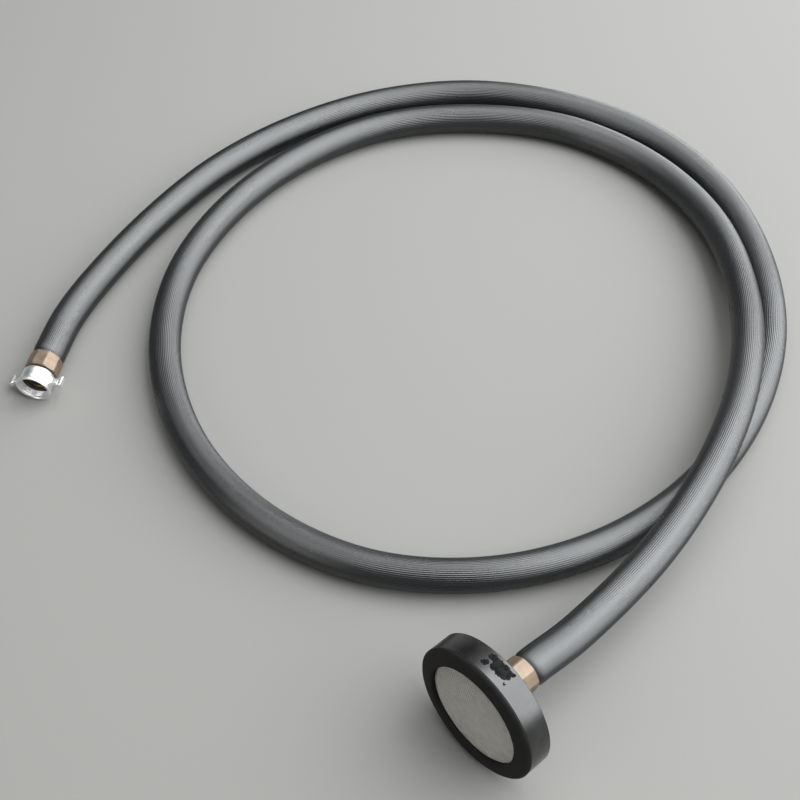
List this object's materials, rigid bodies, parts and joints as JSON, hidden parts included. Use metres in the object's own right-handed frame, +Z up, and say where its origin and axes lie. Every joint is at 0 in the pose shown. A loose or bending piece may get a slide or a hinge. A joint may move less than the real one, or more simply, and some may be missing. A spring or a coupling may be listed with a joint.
{
  "type": "strainer foot valve with suction hose",
  "caption": "Disc-shaped strainer foot valve on a ribbed rubber suction hose that ends in a winged union nut.",
  "frame": {"origin": "on the ground, below the centre of the foot valve's own box (drum, boss, outlet tail and its ferrule)", "axes": "+Z up; the strainer mesh faces -Y and the outlet and hose leave towards +Y; the valve's own axis lies in the YZ plane, leaning back 8 degrees, so its hose end points slightly down; +X completes the right-handed frame"},
  "size_m": [0.7827, 0.798, 0.1307],
  "materials": {
    "matte_black": "matte",
    "gloss_black": "satin gloss, scuffed",
    "stainless_mesh": "fine woven wire",
    "stainless": "satin",
    "soft_rubber": "matte",
    "brass": "machined",
    "ferrule_gold": "yellow passivated steel, satin",
    "hose_rubber": "matte with fine lengthwise ribs and a grey bloom",
    "nut_metal": "cast and turned, bright"
  },
  "bodies": {
    "foot_valve": {"front_ring": "matte_black", "strainer_mesh": "stainless_mesh", "mesh_rim": "stainless", "mesh_support": "stainless", "strainer_gasket": "soft_rubber", "valve_body": "gloss_black", "seat_gasket": "soft_rubber", "valve_seat": "brass", "valve_spring": "stainless", "stem_guide": "brass", "outlet_gasket": "soft_rubber", "outlet_tail": "brass", "valve_ferrule": "ferrule_gold", "suction_hose": "hose_rubber", "coupling_ferrule": "ferrule_gold", "coupling_tail": "brass", "coupling_gasket": "soft_rubber"},
    "poppet": {"valve_disc": "brass", "valve_facing": "soft_rubber", "valve_stem": "stainless", "facing_washer": "stainless", "stem_nut": "stainless"},
    "nut": {"union_nut": "nut_metal"}
  },
  "joints": [
    {"name": "valve_lift", "type": "slide", "parent": "foot_valve", "child": "poppet", "axis": [0, 0.9903, -0.1392], "range_m": [0, 0.006], "stiffness_N_per_m": 150, "springref_m": -0.006, "deforming": ["valve_spring"]},
    {"name": "nut_spin", "type": "hinge", "parent": "foot_valve", "child": "nut", "pos_m": [-0.5686, -0.1269, 0.0189], "axis": [-0.5999, 0.7998, -0.0209], "continuous": true}
  ]
}
